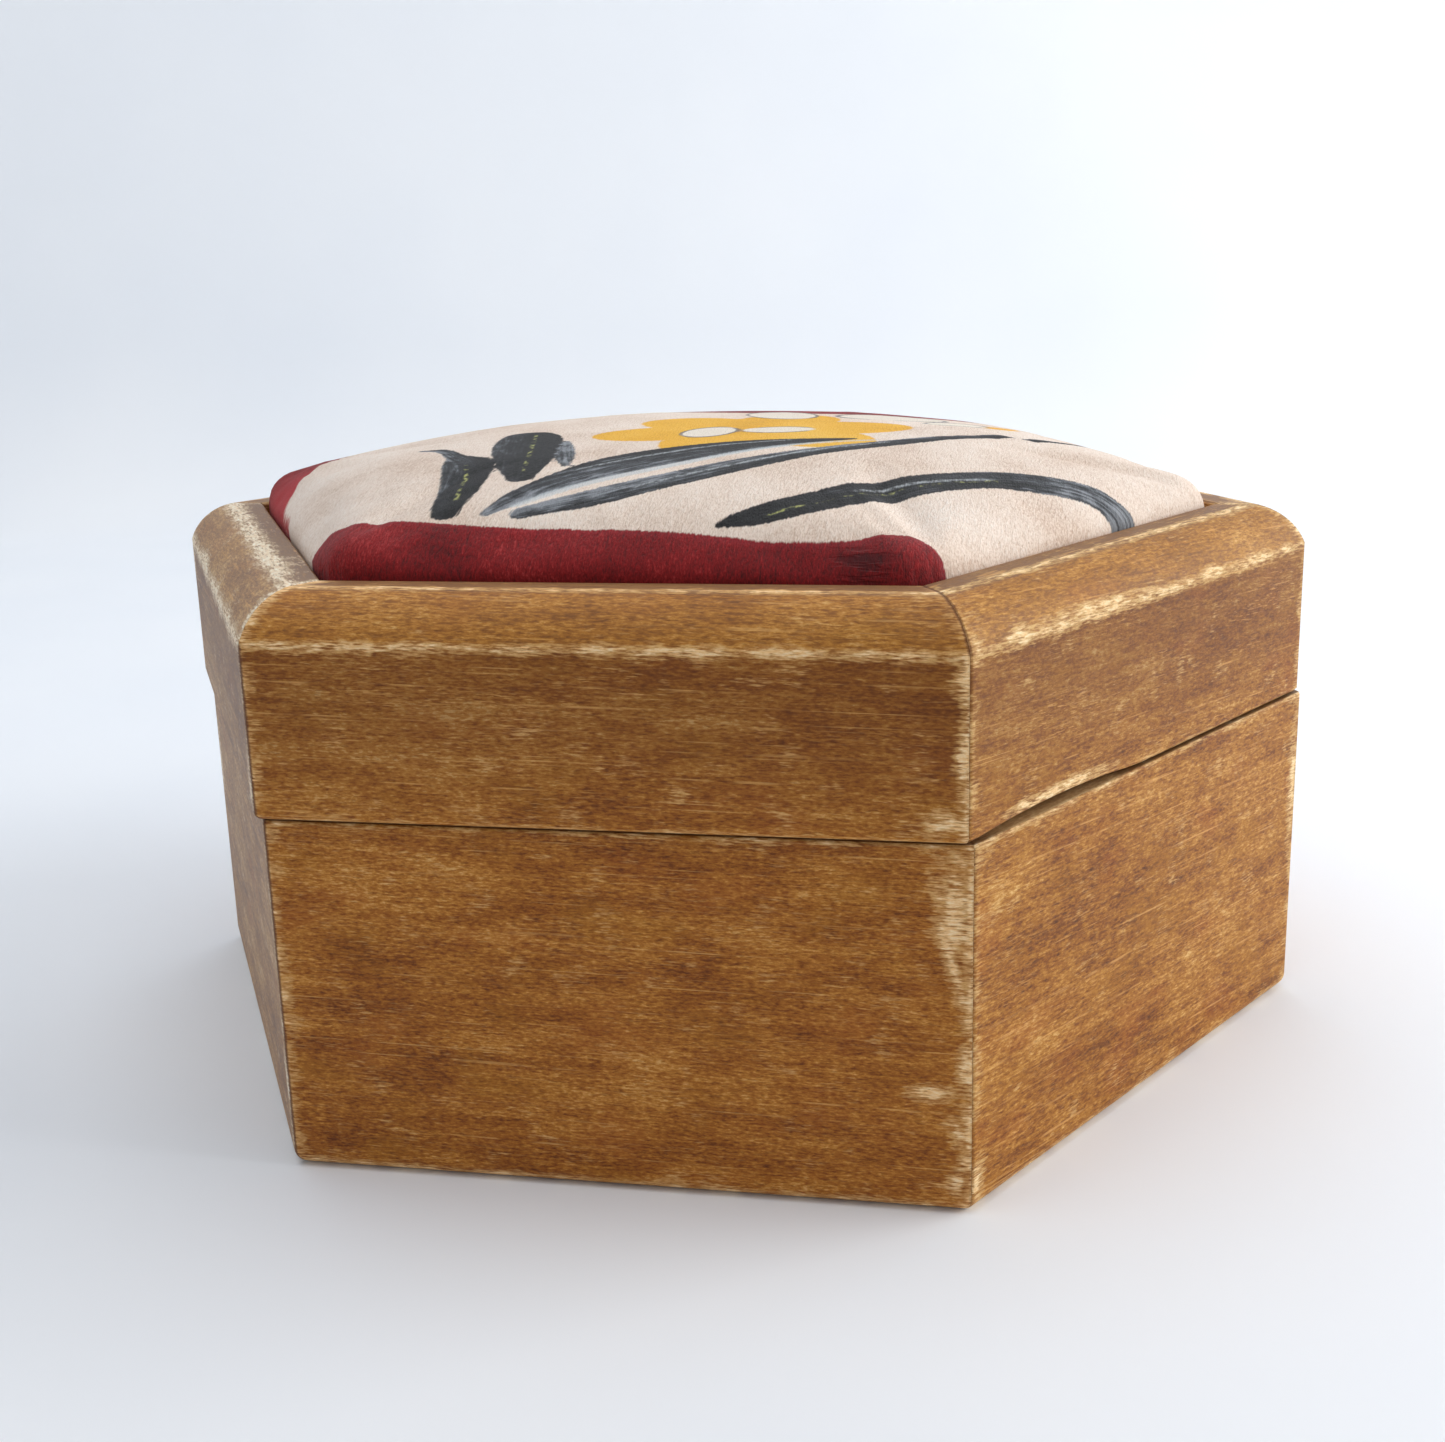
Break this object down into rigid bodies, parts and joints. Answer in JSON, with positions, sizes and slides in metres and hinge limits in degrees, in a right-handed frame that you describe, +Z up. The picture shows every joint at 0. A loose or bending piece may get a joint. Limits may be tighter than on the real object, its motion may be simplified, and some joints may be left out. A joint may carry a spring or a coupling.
{
  "type": "hexagonal sewing box with pincushion lid",
  "caption": "Low hexagonal stained-wood sewing box; the hinged lid has a soft bevel, a finger scoop and a domed padded pincushion in printed fabric.",
  "frame": {"origin": "centre of the base's underside, on the surface that the box stands on", "axes": "+Z up; +X along the hinge line; the hinged wall faces +Y and the wall with the finger scoop faces -Y"},
  "size_m": [0.1407, 0.1242, 0.0702],
  "materials": {
    "stained_wood": "thin brown stain, satin, rubbed pale along the edges",
    "plywood": "bare birch plywood",
    "printed_fabric": "cream crepe with a brush-painted flower print and red panels",
    "wadding": "white polyester wadding",
    "cushion_board": "grey-brown board",
    "brass": "plated, satin",
    "brass_screw": "plated, satin, slotted"
  },
  "bodies": {
    "base": {"base_wall_front": "stained_wood", "base_wall_front_right": "stained_wood", "base_wall_back_right": "stained_wood", "base_wall_back": "stained_wood", "base_wall_back_left": "stained_wood", "base_wall_front_left": "stained_wood", "base_bottom_panel": "plywood", "hinge_left_base_leaf": "brass", "hinge_left_pin": "brass", "hinge_right_base_leaf": "brass", "hinge_right_pin": "brass", "hinge_screws_base": "brass_screw"},
    "lid": {"lid_wall_front": "stained_wood", "lid_wall_front_right": "stained_wood", "lid_wall_back_right": "stained_wood", "lid_wall_back": "stained_wood", "lid_wall_back_left": "stained_wood", "lid_wall_front_left": "stained_wood", "lid_panel": "plywood", "cushion_board": "cushion_board", "cushion_wadding": "wadding", "cushion_cover": "printed_fabric", "hinge_left_lid_leaf": "brass", "hinge_right_lid_leaf": "brass", "hinge_screws_lid": "brass_screw"}
  },
  "joints": [
    {"name": "lid_hinge", "type": "hinge", "parent": "base", "child": "lid", "pos_m": [0, 0.06212, 0.03812], "axis": [-1, 0, 0], "range_deg": [0, 180]}
  ]
}
